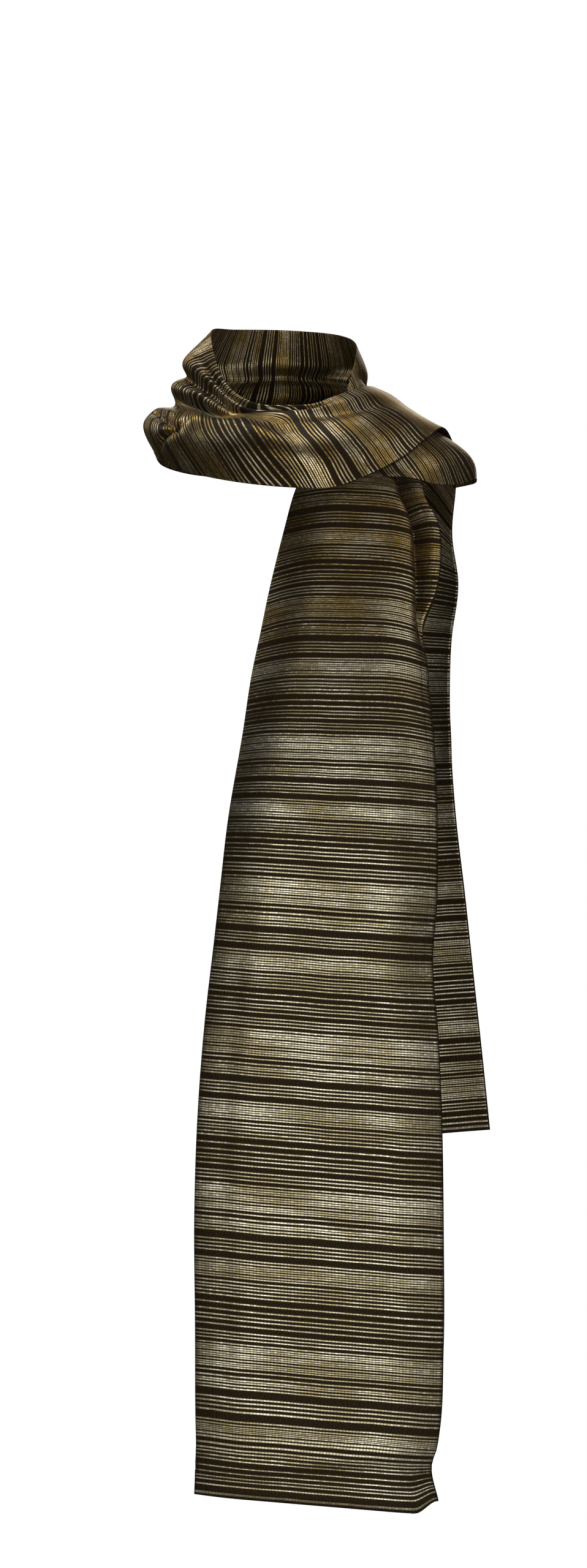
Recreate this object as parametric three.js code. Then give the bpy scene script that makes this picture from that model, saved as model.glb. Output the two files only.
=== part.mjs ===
// A silk shawl as it is worn: one long woven panel, folded lengthwise, with one end hanging down
// the front, the middle wound once round the neck and the other end hanging down the back.
//
// Millimetres, +Z up. The origin is the middle of the neck where it meets the shoulders.
// -Y is the wearer's front. +X is the side that both hanging ends lie on.
//
// The doubled cloth is one smooth band. Each row of the tables below is a section across it, from
// its inner edge (the lengthwise fold, next to the neck) to its outer edge (the two selvedges).
// The band is then cut into the stretches that show, and each stretch is a wall.
import * as THREE from 'three';

// Driving dimensions
const LAYER = 1.0; // one layer of cloth in a hanging end
const LAYER_GAP = 1.0; // air between the two layers of a hanging end
const DOUBLED = 1.8; // both layers together where the band is wound
const SEAM = 0.3; // gap between neighbouring stretches, at their closest
const UNDER_GAP = 1.6; // air between the drape and the layer that shows below it
const EDGE_ROLL = 36; // width over which the side of a hanging end turns back
const PROBE = 0.004; // step for slopes, as a share of a stretch of the band

// The hanging ends. drop: below the origin. left, right: sides. depth: front or back of the body.
// leftRoll, rightRoll: how far the sides turn back. tilt: degrees that the weft sinks to the right.
// lift: how far the outer corner kicks up, if it does. lean: how much the weft sinks for each mm of
// roll, where the cloth leans forward.
const FRONT_END = [
  { drop: 784, left: -67.8, right: 107, depth: -112, leftRoll: 6, rightRoll: 4, tilt: 4.8, lift: 10 },
  { drop: 751, left: -66.8, right: 101.8, depth: -112, leftRoll: 7, rightRoll: 9, tilt: 4.8 },
  { drop: 730, left: -67.2, right: 106.6, depth: -113, leftRoll: 7, rightRoll: 6, tilt: 4.8 },
  { drop: 663, left: -67.5, right: 110.5, depth: -114, leftRoll: 7, rightRoll: 5, tilt: 4.8 },
  { drop: 583, left: -68, right: 110.5, depth: -116, leftRoll: 7, rightRoll: 5, tilt: 4.8 },
  { drop: 512, left: -65.7, right: 109.5, depth: -118, leftRoll: 7, rightRoll: 6, tilt: 4.6 },
  { drop: 443, left: -60.5, right: 106.8, depth: -121, leftRoll: 8, rightRoll: 7, tilt: 4.3 },
  { drop: 382, left: -53.5, right: 102.6, depth: -123, leftRoll: 9, rightRoll: 12, tilt: 4.1 },
  { drop: 345, left: -49.4, right: 105.3, depth: -125, leftRoll: 10, rightRoll: 10, tilt: 3.8, lean: 0.05 },
  { drop: 296, left: -44, right: 105.8, depth: -126, leftRoll: 12, rightRoll: 12, tilt: 3, lean: 0.1 },
  { drop: 226, left: -33, right: 103.3, depth: -123, leftRoll: 15, rightRoll: 16, tilt: 1.8, lean: 0.25 },
  { drop: 180, left: -26.5, right: 99.5, depth: -117, leftRoll: 16, rightRoll: 17, tilt: 0.8, lean: 0.35 },
  { drop: 150, left: -20.5, right: 100.5, depth: -111, leftRoll: 16, rightRoll: 14, tilt: 0.4, lean: 0.4 },
  { drop: 118, left: -14, right: 107.3, depth: -104, leftRoll: 15, rightRoll: 12, tilt: 0, lean: 0.4 },
  { drop: 95, left: -8.5, right: 109.4, depth: -99, leftRoll: 14, rightRoll: 12, tilt: 0, lean: 0.4 },
  { drop: 72, left: -2.5, right: 108, depth: -94, leftRoll: 12, rightRoll: 12, tilt: 0, lean: 0.4 },
  { drop: 50, left: 3.5, right: 98, depth: -88, leftRoll: 10, rightRoll: 12, tilt: 0, lean: 0.4 },
];
const BACK_END = [
  { drop: 98, left: 37, right: 129, depth: 98, leftRoll: 6, rightRoll: 10, tilt: 15 },
  { drop: 150, left: 27, right: 124, depth: 103, leftRoll: 8, rightRoll: 10, tilt: 5 },
  { drop: 215, left: 17, right: 123, depth: 106, leftRoll: 8, rightRoll: 9, tilt: -2 },
  { drop: 290, left: 8, right: 127.5, depth: 108, leftRoll: 7, rightRoll: 6, tilt: -4 },
  { drop: 360, left: -1, right: 135.5, depth: 110, leftRoll: 6, rightRoll: 5, tilt: -5 },
  { drop: 425, left: -9, right: 142.5, depth: 111, leftRoll: 6, rightRoll: 4, tilt: -5 },
  { drop: 485, left: -15, right: 149, depth: 111, leftRoll: 5, rightRoll: 4, tilt: -5 },
  { drop: 540, left: -20, right: 154.5, depth: 110, leftRoll: 5, rightRoll: 4, tilt: -5 },
];

// The wound middle. turn: degrees round the neck from +X towards the back. splay: how much further
// round the outer edge is, if it is. Then [distance from the neck's axis, height] at five places.
const WINDING = [
  { turn: -70, splay: 34,
    edge: [74, -8], collar: [84, -12], saddle: [94, -18], slope: [107, -26], rim: [119, -36] },
  { turn: -42, splay: 14,
    edge: [57, 27], collar: [65, 13], saddle: [76, 0], slope: [90, -13], rim: [103, -27] },
  { turn: -15, splay: 4,
    edge: [51, 54], collar: [57, 37], saddle: [62, 20], slope: [79, 3], rim: [97, -13] },
  { turn: 8, edge: [50, 64], collar: [58, 45], saddle: [62, 24], slope: [78, 5], rim: [95, -11] },
  { turn: 45, edge: [54, 74], collar: [62, 52], saddle: [68, 28], slope: [82, 5], rim: [93, -19] },
  { turn: 90, edge: [58, 80], collar: [69, 57], saddle: [77, 31], slope: [90, 3], rim: [97, -29] },
  { turn: 135, edge: [60, 79], collar: [77, 54], saddle: [89, 28], slope: [103, 3], rim: [100, -29] },
  { turn: 165, edge: [60, 76], collar: [82, 51], saddle: [92.5, 25], slope: [108, 5], rim: [99, -25] },
  { turn: 182, edge: [59, 69], collar: [82, 47], saddle: [92.5, 23], slope: [109, 4], rim: [99, -22] },
  { turn: 198, edge: [58, 50], collar: [73, 37], saddle: [87, 18], slope: [106, -2], rim: [100, -26] },
  { turn: 213, edge: [58.5, 34], collar: [67, 26], saddle: [80, 12], slope: [102, -8], rim: [98, -34] },
  { turn: 231, edge: [60.5, 21], collar: [68, 15], saddle: [79, 4], slope: [101, -15], rim: [97, -41] },
  { turn: 250, edge: [63, 13], collar: [70, 8], saddle: [82, -1], slope: [104, -21], rim: [99, -47] },
  { turn: 270, edge: [64, 12], collar: [72, 6], saddle: [86, -4], slope: [107, -25], rim: [103, -51] },
  { turn: 285, edge: [66.5, 13], collar: [77, 8], saddle: [92, -3], slope: [112, -25], rim: [113, -52] },
  { turn: 298, edge: [67.5, 18.5], collar: [79, 13], saddle: [95, 1], slope: [112.5, -18], rim: [121.5, -42] },
  { turn: 312, edge: [67, 24], collar: [79, 18], saddle: [94, 7.5], slope: [109, -8], rim: [120.5, -29] },
  { turn: 328, edge: [65, 28.5], collar: [77, 22.5], saddle: [91, 13.5], slope: [105.5, 2], rim: [118.5, -12] },
  { turn: 345, edge: [64, 30], collar: [76, 24.5], saddle: [89, 15], slope: [103, 6], rim: [117.5, -2] },
  { turn: 362, edge: [67, 29], collar: [79, 22.5], saddle: [92, 12], slope: [107, 1], rim: [123, -14] },
  { turn: 385, edge: [77, 22], collar: [92, 13], saddle: [107, 0], slope: [122, -17], rim: [139, -40] },
  { turn: 425, splay: -30,
    edge: [98, -2], collar: [108, -13], saddle: [121, -28], slope: [136, -47], rim: [152, -75] },
];
// The layer under the drape. gap: air below the top layer's free edge. crest: the line where it
// bends down. rim: its lower edge. Both are [distance from the neck's axis, height].
const UNDERLAY = [
  { turn: 293, gap: 1.6, crest: [111.5, -33], rim: [112, -41] },
  { turn: 302, gap: 1.6, crest: [116, -36], rim: [121, -43] },
  { turn: 312, gap: 2, crest: [122, -37], rim: [127.5, -43] },
  { turn: 324, gap: 2.4, crest: [129, -34], rim: [131.5, -47] },
  { turn: 338, gap: 3.6, crest: [133.5, -30], rim: [135.5, -45] },
  { turn: 350, gap: 5, crest: [136.5, -26], rim: [139, -39] },
  { turn: 362, gap: 4.5, crest: [135, -29], rim: [138.5, -40] },
  { turn: 378, gap: 2.5, crest: [125, -31], rim: [131, -41] },
];

// Folds that run along the band. from, to: where it starts and ends, as rows counted from the front
// hem. fade: rows over which its ends die out. start, end: its place across the band, 0 at the inner
// edge. width, depth: of its valley.
const FOLDS = [
  { name: 'side groove', from: 10.8, to: 19, fade: 2.2, start: 0.92, end: 0.72, width: 5.5, depth: 15 },
  { name: 'left crease', from: 1.5, to: 8.5, fade: 2, start: 0.12, end: 0.12, width: 7, depth: 1.6 },
  { name: 'collar roll', from: 19.5, to: 29.5, fade: 1.6, start: 0.38, end: 0.24, width: 5.5, depth: 9 },
  { name: 'shoulder roll', from: 19.5, to: 29, fade: 1.6, start: 0.62, end: 0.42, width: 5.5, depth: 9 },
  { name: 'neckline roll', from: 25, to: 32, fade: 1.6, start: 0.12, end: 0.09, width: 3.5, depth: 4 },
  { name: 'drape dent', from: 29.5, to: 34.5, fade: 2, start: 0.3, end: 0.42, width: 9, depth: 4 },
  { name: 'inner back fold', from: 35.5, to: 45, fade: 3, start: 0.3, end: 0.27, width: 7, depth: 9 },
  { name: 'outer back fold', from: 36, to: 44, fade: 3, start: 0.66, end: 0.62, width: 7, depth: 10 },
];

// The stretches, as rows counted from the front hem, and how finely each is divided
const STRETCHES = [
  { name: 'front_tail', from: 0, to: 16.45, rows: 26, columns: 14, layers: 2 },
  { name: 'shoulder_rise', from: 16.45, to: 19.5, rows: 8, columns: 18, layers: 1 },
  { name: 'neck_wrap', from: 19.5, to: 23.4, rows: 14, columns: 22, layers: 1 },
  { name: 'left_turn', from: 23.4, to: 28.8, rows: 16, columns: 24, layers: 1 },
  { name: 'front_drape', from: 28.8, to: 35.6, rows: 17, columns: 24, layers: 1 },
  { name: 'shoulder_fall', from: 35.6, to: 38.5, rows: 8, columns: 22, layers: 1 },
  { name: 'back_tail', from: 38.5, to: 46, rows: 18, columns: 14, layers: 2 },
];

const GOLD_BLACK = new THREE.MeshStandardMaterial({ color: 0x8f7f52, roughness: 0.45, metalness: 0.55 });

const radians = (degrees) => (degrees * Math.PI) / 180;
const clamp01 = (value) => Math.min(1, Math.max(0, value));
const smooth01 = (value) => clamp01(value) ** 2 * (3 - 2 * clamp01(value));

/** A point on the smooth curve through evenly numbered points. place runs from 0 to the last one. */
function glide(points, place) {
  const last = points.length - 1;
  const index = Math.min(last - 1, Math.max(0, Math.floor(place)));
  const share = place - index;
  const before = points[Math.max(0, index - 1)];
  const here = points[index];
  const next = points[index + 1];
  const after = points[Math.min(last, index + 2)];
  const step = here.distanceTo(next);
  const slopeHere = slopeAt(before, here, next).multiplyScalar(step);
  const slopeNext = slopeAt(here, next, after).multiplyScalar(step);
  const s2 = share * share;
  const s3 = s2 * share;
  return new THREE.Vector3()
    .addScaledVector(here, 2 * s3 - 3 * s2 + 1)
    .addScaledVector(slopeHere, s3 - 2 * s2 + share)
    .addScaledVector(next, 3 * s2 - 2 * s3)
    .addScaledVector(slopeNext, s3 - s2);
}

/** The slope of the curve for each mm at the middle one of three points. */
function slopeAt(before, here, after) {
  const back = here.distanceTo(before);
  const ahead = after.distanceTo(here);
  if (back < 1e-6) return after.clone().sub(here).divideScalar(Math.max(ahead, 1e-6));
  if (ahead < 1e-6) return here.clone().sub(before).divideScalar(back);
  const slopeBack = here.clone().sub(before).divideScalar(back);
  const slopeAhead = after.clone().sub(here).divideScalar(ahead);
  return slopeBack.multiplyScalar(ahead).addScaledVector(slopeAhead, back).divideScalar(back + ahead);
}

/** A section of a hanging end, at a share across it. */
function hangingPoint(row, across) {
  const side = Math.sign(row.depth);
  const x = row.left + (row.right - row.left) * across;
  const fromLeft = clamp01(1 - (x - row.left) / EDGE_ROLL);
  const fromRight = clamp01(1 - (row.right - x) / EDGE_ROLL);
  const roll = row.leftRoll * fromLeft ** 2 + row.rightRoll * fromRight ** 2;
  const sink = Math.tan(radians(row.tilt)) * (x - (row.left + row.right) / 2);
  const kick = (row.lift ?? 0) * smooth01((across - 0.9) / 0.1);
  const lean = row.lean ?? 0;
  return new THREE.Vector3(x, row.depth - side * roll, -row.drop - sink - lean * roll + kick);
}

/** A section of the wound middle, at a share across it. */
function woundPoint(row, across) {
  const places = ['edge', 'collar', 'saddle', 'slope', 'rim'];
  const points = places.map((place, index) => {
    const angle = radians(row.turn + ((row.splay ?? 0) * index) / (places.length - 1));
    const [radius, height] = row[place];
    return new THREE.Vector3(radius * Math.cos(angle), radius * Math.sin(angle), height);
  });
  return glide(points, across * (places.length - 1));
}

const BAND = [
  ...FRONT_END.map((row) => (across) => hangingPoint(row, across)),
  ...WINDING.map((row) => (across) => woundPoint(row, across)),
  ...BACK_END.map((row) => (across) => hangingPoint(row, across)),
];

/** The band before its folds. */
function plainBand(place, across) {
  const first = Math.max(0, Math.floor(place) - 1);
  const last = Math.min(BAND.length - 1, Math.floor(place) + 2);
  const points = BAND.slice(first, last + 1).map((section) => section(across));
  return glide(points, place - first);
}

/** The outward direction of a surface, from its slopes along and across. */
function outwardOf(surface, place, across) {
  const acrossLow = Math.max(0, across - PROBE);
  const acrossHigh = Math.min(1, across + PROBE);
  const placeLow = Math.max(0, place - PROBE);
  const placeHigh = Math.min(BAND.length - 1, place + PROBE);
  const acrossSlope = surface(place, acrossHigh).sub(surface(place, acrossLow));
  const alongSlope = surface(placeHigh, across).sub(surface(placeLow, across));
  return acrossSlope.cross(alongSlope).normalize();
}

/** How much of a fold there is at a place, from 0 to 1. reach widens its valley. */
function foldWeight(fold, place, across, reach = 1) {
  const width = plainBand(place, 0).distanceTo(plainBand(place, 1));
  const share = clamp01((place - fold.from) / (fold.to - fold.from));
  const fade = smooth01((place - fold.from) / fold.fade) * smooth01((fold.to - place) / fold.fade);
  const offset = ((across - fold.start - (fold.end - fold.start) * share) * width) / (fold.width * reach);
  return fade * Math.exp(-offset * offset);
}

/** How far the folds sink the band at a place. */
function foldDepth(place, across) {
  return FOLDS.reduce((sum, fold) => sum + fold.depth * foldWeight(fold, place, across), 0);
}

/** The middle surface of the doubled cloth. */
function band(place, across) {
  const depth = foldDepth(place, across);
  return plainBand(place, across).addScaledVector(outwardOf(plainBand, place, across), -depth);
}

/** One body from a row of closed loops, with both ends closed by the same triangles. */
function bodyFromLoops(loops, endFaces) {
  const size = loops[0].length;
  const positions = loops.flat().flatMap((point) => [point.x, point.y, point.z]);
  const faces = [];
  for (let row = 0; row < loops.length - 1; row += 1) {
    for (let column = 0; column < size; column += 1) {
      const here = row * size + column;
      const beside = row * size + ((column + 1) % size);
      faces.push(here, beside, beside + size, here, beside + size, here + size);
    }
  }
  const lastLoop = (loops.length - 1) * size;
  for (const [a, b, c] of endFaces) {
    faces.push(a, c, b, lastLoop + a, lastLoop + b, lastLoop + c);
  }
  const geometry = new THREE.BufferGeometry();
  geometry.setAttribute('position', new THREE.Float32BufferAttribute(positions, 3));
  geometry.setIndex(faces);
  return outwardFacing(geometry);
}

/** Turns the faces round if the body is inside out. */
function outwardFacing(geometry) {
  const index = geometry.getIndex().array;
  const position = geometry.getAttribute('position');
  const corner = (number) => new THREE.Vector3().fromBufferAttribute(position, number);
  let volume = 0;
  for (let face = 0; face < index.length; face += 3) {
    volume += corner(index[face]).dot(corner(index[face + 1]).cross(corner(index[face + 2])));
  }
  if (volume < 0) {
    for (let face = 0; face < index.length; face += 3) {
      [index[face + 1], index[face + 2]] = [index[face + 2], index[face + 1]];
    }
  }
  geometry.computeVertexNormals();
  return geometry;
}

/** Shares across the band for a section's points, closer together where a fold runs. */
function spread(place, columns) {
  const samples = 120;
  const reach = 1.6;
  const crowding = 2.5;
  const total = [0];
  for (let sample = 0; sample < samples; sample += 1) {
    const across = (sample + 0.5) / samples;
    const near = FOLDS.reduce((sum, fold) => sum + foldWeight(fold, place, across, reach), 0);
    total.push(total[sample] + 1 + crowding * near);
  }
  return Array.from({ length: columns + 1 }, (_, column) => {
    const wanted = (total[samples] * column) / columns;
    const sample = Math.min(samples - 1, total.findLastIndex((value) => value <= wanted + 1e-9));
    return clamp01((sample + (wanted - total[sample]) / (total[sample + 1] - total[sample])) / samples);
  });
}

/** A section line moved out of the surface, as points at the given shares across it. */
function offsetLine(surface, place, shares, offset) {
  return shares.map((across) =>
    surface(place, across).addScaledVector(outwardOf(surface, place, across), offset));
}

/** Triangles between two neighbouring lines of a loop, given the numbers of their points. */
function stripFaces(first, second) {
  const faces = [];
  for (let step = 0; step < first.length - 1; step += 1) {
    faces.push([first[step], first[step + 1], second[step + 1]]);
    faces.push([first[step], second[step + 1], second[step]]);
  }
  return faces;
}

/** One wall that holds both layers. */
function doubledWall(surface, places, columns, sharesAt) {
  const loops = places.map((place) => {
    const shares = sharesAt(place, columns);
    return [
      ...offsetLine(surface, place, shares, DOUBLED / 2),
      ...offsetLine(surface, place, shares, -DOUBLED / 2).reverse(),
    ];
  });
  const outer = Array.from({ length: columns + 1 }, (_, column) => column);
  const inner = outer.map((column) => 2 * columns + 1 - column);
  return bodyFromLoops(loops, stripFaces(outer, inner));
}

/** Two layers that are one wall, folded at the inner edge and open at the outer one. */
function foldedWall(surface, places, columns, sharesAt) {
  const face = LAYER + LAYER_GAP / 2;
  const count = columns + 1;
  const loops = places.map((place) => {
    const shares = sharesAt(place, columns);
    const out = offsetLine(surface, place, shares, face);
    const outInside = offsetLine(surface, place, shares, LAYER_GAP / 2).reverse();
    const backInside = offsetLine(surface, place, shares, -LAYER_GAP / 2);
    const back = offsetLine(surface, place, shares, -face).reverse();
    const edge = surface(place, 0);
    const inward = edge.clone().sub(surface(place, PROBE)).normalize();
    return [...out, ...outInside, ...backInside, ...back, edge.addScaledVector(inward, face)];
  });
  const numbers = Array.from({ length: count }, (_, column) => column);
  const out = numbers;
  const outInside = numbers.map((column) => 2 * count - 1 - column);
  const backInside = numbers.map((column) => 2 * count + column);
  const back = numbers.map((column) => 4 * count - 1 - column);
  const tip = 4 * count;
  const foldEnd = [
    [tip, out[0], outInside[0]],
    [tip, outInside[0], backInside[0]],
    [tip, backInside[0], back[0]],
  ];
  return bodyFromLoops(loops, [...stripFaces(out, outInside), ...stripFaces(backInside, back), ...foldEnd]);
}

/** Evenly spread places along a stretch, with half a seam left free at each end that meets another. */
function placesAlong(stretch) {
  const lastRow = BAND.length - 1;
  const trim = (place, towards) => {
    if (place === 0 || place === lastRow) return place;
    const steps = [0, 0.5, 1].map((across) =>
      plainBand(place, across).distanceTo(plainBand(place + PROBE, across)) / PROBE);
    return place + (towards * SEAM) / 2 / Math.min(...steps);
  };
  const from = trim(stretch.from, 1);
  const to = trim(stretch.to, -1);
  return Array.from({ length: stretch.rows + 1 }, (_, row) => from + ((to - from) * row) / stretch.rows);
}

function named(name, geometry) {
  const mesh = new THREE.Mesh(geometry, GOLD_BLACK.clone());
  mesh.name = name;
  return mesh;
}

/** The layer that shows below the drape's free edge. */
function underlaySurface(place, across) {
  const rows = UNDERLAY.map((row) => {
    const bandPlace = FRONT_END.length + windingPlace(row.turn);
    const tucked = (share, gap) =>
      band(bandPlace, share).addScaledVector(outwardOf(band, bandPlace, share), -DOUBLED - gap);
    const around = ([radius, height]) => {
      const angle = radians(row.turn);
      return new THREE.Vector3(radius * Math.cos(angle), radius * Math.sin(angle), height);
    };
    const points = [
      tucked(0.5, UNDER_GAP),
      tucked(0.72, UNDER_GAP),
      tucked(0.92, row.gap),
      around(row.crest),
      around(row.rim),
    ];
    return glide(points, across * (points.length - 1));
  });
  return glide(rows, place);
}

/** The row, counted from the first of the winding, that lies at a turn. */
function windingPlace(turn) {
  const next = WINDING.findIndex((row) => row.turn >= turn);
  const here = WINDING[next - 1];
  return next - 1 + (turn - here.turn) / (WINDING[next].turn - here.turn);
}

function underlay() {
  const rows = 14;
  const columns = 12;
  const places = Array.from({ length: rows + 1 }, (_, row) => ((UNDERLAY.length - 1) * row) / rows);
  const evenly = () => Array.from({ length: columns + 1 }, (_, column) => column / columns);
  return named('drape_underlay', doubledWall(underlaySurface, places, columns, evenly));
}

const shawl = new THREE.Group();
for (const stretch of STRETCHES) {
  const wall = stretch.layers === 2 ? foldedWall : doubledWall;
  shawl.add(named(stretch.name, wall(band, placesAlong(stretch), stretch.columns, spread)));
}
shawl.add(underlay());

export default shawl;
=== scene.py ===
"""Dresses a worn silk shawl: one long gold-striped panel, folded lengthwise and wound round the neck.

Tables and shapes are in millimetres, +Z up, with the origin in the middle of the neck where it
meets the shoulders. -Y is the wearer's front. The settings in the sidebar are in metres.
"""
import math

import bpy
import numpy as np
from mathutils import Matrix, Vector


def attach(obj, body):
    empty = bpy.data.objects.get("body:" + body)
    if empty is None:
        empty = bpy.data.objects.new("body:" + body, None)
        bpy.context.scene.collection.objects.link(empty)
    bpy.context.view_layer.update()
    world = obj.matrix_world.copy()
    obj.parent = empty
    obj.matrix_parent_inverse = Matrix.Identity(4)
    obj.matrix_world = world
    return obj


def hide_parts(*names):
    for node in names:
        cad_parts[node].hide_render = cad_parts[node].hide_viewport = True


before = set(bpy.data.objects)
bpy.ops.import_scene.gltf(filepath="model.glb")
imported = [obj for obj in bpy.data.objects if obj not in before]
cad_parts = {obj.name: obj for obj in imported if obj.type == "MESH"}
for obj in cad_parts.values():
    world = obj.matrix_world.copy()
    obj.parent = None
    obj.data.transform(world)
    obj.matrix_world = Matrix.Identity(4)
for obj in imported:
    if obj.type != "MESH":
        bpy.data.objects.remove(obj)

bl_info = {
    "name": "Silk Shawl",
    "version": (1, 0, 0),
    "blender": (4, 5, 0),
    "location": "3D View > Sidebar > Shawl",
    "description": "Builds a worn silk shawl with gold-striped cloth, and a plain studio for it",
    "category": "Add Mesh",
}

MM = 0.001
TINY = 1e-6

# The hanging ends. drop: below the origin. left, right: sides. depth: front or back of the body.
# left_roll, right_roll: how far the sides turn back. tilt: degrees that the weft sinks to the
# right. lean: how much the weft sinks for each mm of roll. weave: the place in the stripe pattern,
# in repeats counted from the front hem.
HANGING = ("drop", "left", "right", "depth", "left_roll", "right_roll", "tilt", "lean", "weave")
FRONT_END = (
    (784, -67.8, 107, -112, 6, 4, 4.8, 0, 0.51),
    (751, -66.8, 101.8, -112, 7, 9, 4.8, 0, 0.79),
    (730, -67.2, 106.6, -113, 7, 6, 4.8, 0, 0.97),
    (663, -67.5, 110.5, -114, 7, 5, 4.8, 0, 1.54),
    (583, -68, 110.5, -116, 7, 5, 4.8, 0, 2.22),
    (512, -65.7, 109.5, -118, 7, 6, 4.6, 0, 2.84),
    (443, -60.5, 106.8, -121, 8, 7, 4.3, 0, 3.46),
    (382, -53.5, 102.6, -123, 9, 12, 4.1, 0, 4.02),
    (345, -49.4, 105.3, -125, 10, 10, 3.8, 0.05, 4.36),
    (296, -44, 105.8, -126, 12, 12, 3, 0.1, 4.81),
    (226, -33, 103.3, -123, 15, 16, 1.8, 0.25, 5.48),
    (180, -26.5, 99.5, -117, 16, 17, 0.8, 0.35, 5.92),
    (150, -20.5, 100.5, -111, 16, 14, 0.4, 0.4, 6.23),
    (118, -14, 107.3, -104, 15, 12, 0, 0.4, 6.57),
    (95, -8.5, 109.4, -99, 14, 12, 0, 0.4, 6.82),
    (72, -2.5, 108, -94, 12, 12, 0, 0.4, 7.06),
    (50, 3.5, 98, -88, 10, 12, 0, 0.4, 7.29),
)
BACK_END = (
    (98, 37, 129, 98, 6, 10, 15, 0, 14.54),
    (150, 27, 124, 103, 8, 10, 5, 0, 15.04),
    (215, 17, 123, 106, 8, 9, -2, 0, 15.64),
    (290, 8, 127.5, 108, 7, 6, -4, 0, 16.34),
    (360, -1, 135.5, 110, 6, 5, -5, 0, 16.99),
    (425, -9, 142.5, 111, 6, 4, -5, 0, 17.59),
    (485, -15, 149, 111, 5, 4, -5, 0, 18.14),
    (540, -20, 154.5, 110, 5, 4, -5, 0, 18.64),
)
CORNER_LIFT = 10  # how far the outer corner of the front hem kicks up
CORNER_FROM = 0.9  # share across at which the kick begins
EDGE_ROLL = 36  # width over which the side of a hanging end turns back

# The wound middle. turn: degrees round the neck from +X towards the back. splay: how much further
# round the outer edge is. Then [distance from the neck's axis, height] at five places across.
WOUND_PLACES = ("edge", "collar", "saddle", "slope", "rim")
WOUND = ("turn", "splay") + WOUND_PLACES
WINDING = (
    (-70, 34, (74, -8), (84, -12), (94, -18), (107, -26), (119, -36)),
    (-42, 14, (57, 27), (65, 13), (76, 0), (90, -13), (103, -27)),
    (-15, 4, (51, 54), (57, 37), (62, 20), (79, 3), (97, -13)),
    (8, 0, (50, 64), (58, 45), (62, 24), (78, 5), (95, -11)),
    (45, 0, (54, 74), (62, 52), (68, 28), (82, 5), (93, -19)),
    (90, 0, (58, 80), (69, 57), (77, 31), (90, 3), (97, -29)),
    (135, 0, (60, 79), (77, 54), (89, 28), (103, 3), (100, -29)),
    (165, 0, (60, 76), (82, 51), (92.5, 25), (108, 5), (99, -25)),
    (182, 0, (59, 69), (82, 47), (92.5, 23), (109, 4), (99, -22)),
    (198, 0, (58, 50), (73, 37), (87, 18), (106, -2), (100, -26)),
    (213, 0, (58.5, 34), (67, 26), (80, 12), (102, -8), (98, -34)),
    (231, 0, (60.5, 21), (68, 15), (79, 4), (101, -15), (97, -41)),
    (250, 0, (63, 13), (70, 8), (82, -1), (104, -21), (99, -47)),
    (270, 0, (64, 12), (72, 6), (86, -4), (107, -25), (103, -51)),
    (285, 0, (66.5, 13), (77, 8), (92, -3), (112, -25), (113, -52)),
    (298, 0, (67.5, 18.5), (79, 13), (95, 1), (112.5, -18), (121.5, -42)),
    (312, 0, (67, 24), (79, 18), (94, 7.5), (109, -8), (120.5, -29)),
    (328, 0, (65, 28.5), (77, 22.5), (91, 13.5), (105.5, 2), (118.5, -12)),
    (345, 0, (64, 30), (76, 24.5), (89, 15), (103, 6), (117.5, -2)),
    (362, 0, (67, 29), (79, 22.5), (92, 12), (107, 1), (123, -14)),
    (385, 0, (77, 22), (92, 13), (107, 0), (122, -17), (139, -40)),
    (425, -30, (98, -2), (108, -13), (121, -28), (136, -47), (152, -75)),
)

# Where the wound middle lies in the stripe pattern, in repeats counted from the front hem. The cloth
# is pulled on the skew, so the places differ across it. A row for each row above.
STRIPE_SHARES = (0, 0.2, 0.4, 0.46, 0.5, 0.6, 0.75, 1)
STRIPES = (
    (7.75, 7.75, 7.75, 7.75, 7.75, 7.75, 7.75, 7.75),
    (8.15, 8.15, 8.15, 8.15, 8.15, 8.15, 8.15, 8.15),
    (8.5, 8.5, 8.5, 8.5, 8.5, 8.5, 8.5, 8.5),
    (8.8, 8.8, 8.8, 8.8, 8.8, 8.8, 8.8, 8.8),
    (9.25, 9.25, 9.25, 9.25, 9.25, 9.2, 9.2, 9.2),
    (9.85, 9.85, 9.85, 9.85, 9.85, 9.8, 9.75, 9.7),
    (10.5, 10.52, 10.52, 10.5, 10.45, 10.4, 10.3, 10.2),
    (10.99, 11.06, 11.08, 11.05, 10.85, 10.65, 10.55, 10.45),
    (11.29, 11.4, 11.39, 11.37, 11, 10.88, 10.8, 10.7),
    (11.55, 11.61, 11.6, 11.58, 11.22, 11.11, 11.05, 10.95),
    (11.73, 11.77, 11.77, 11.7, 11.44, 11.33, 11.22, 11.1),
    (11.9, 11.95, 11.93, 11.69, 11.61, 11.53, 11.41, 11.27),
    (12.03, 12.02, 11.9, 11.8, 11.76, 11.71, 11.61, 11.49),
    (12.1, 12, 11.97, 11.96, 11.95, 11.92, 11.84, 11.69),
    (12.2, 12.18, 12.17, 12.16, 12.15, 12.12, 12.06, 11.94),
    (12.41, 12.39, 12.38, 12.37, 12.37, 12.34, 12.29, 12.19),
    (12.61, 12.6, 12.61, 12.61, 12.6, 12.58, 12.53, 12.46),
    (12.82, 12.81, 12.82, 12.82, 12.81, 12.79, 12.77, 12.74),
    (13.07, 13.05, 13.05, 13.05, 13.05, 13.03, 13.01, 13.02),
    (13.36, 13.35, 13.35, 13.35, 13.34, 13.33, 13.32, 13.32),
    (13.75, 13.75, 13.75, 13.75, 13.74, 13.73, 13.72, 13.72),
    (14.19, 14.19, 14.19, 14.19, 14.19, 14.19, 14.19, 14.19),
)

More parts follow.
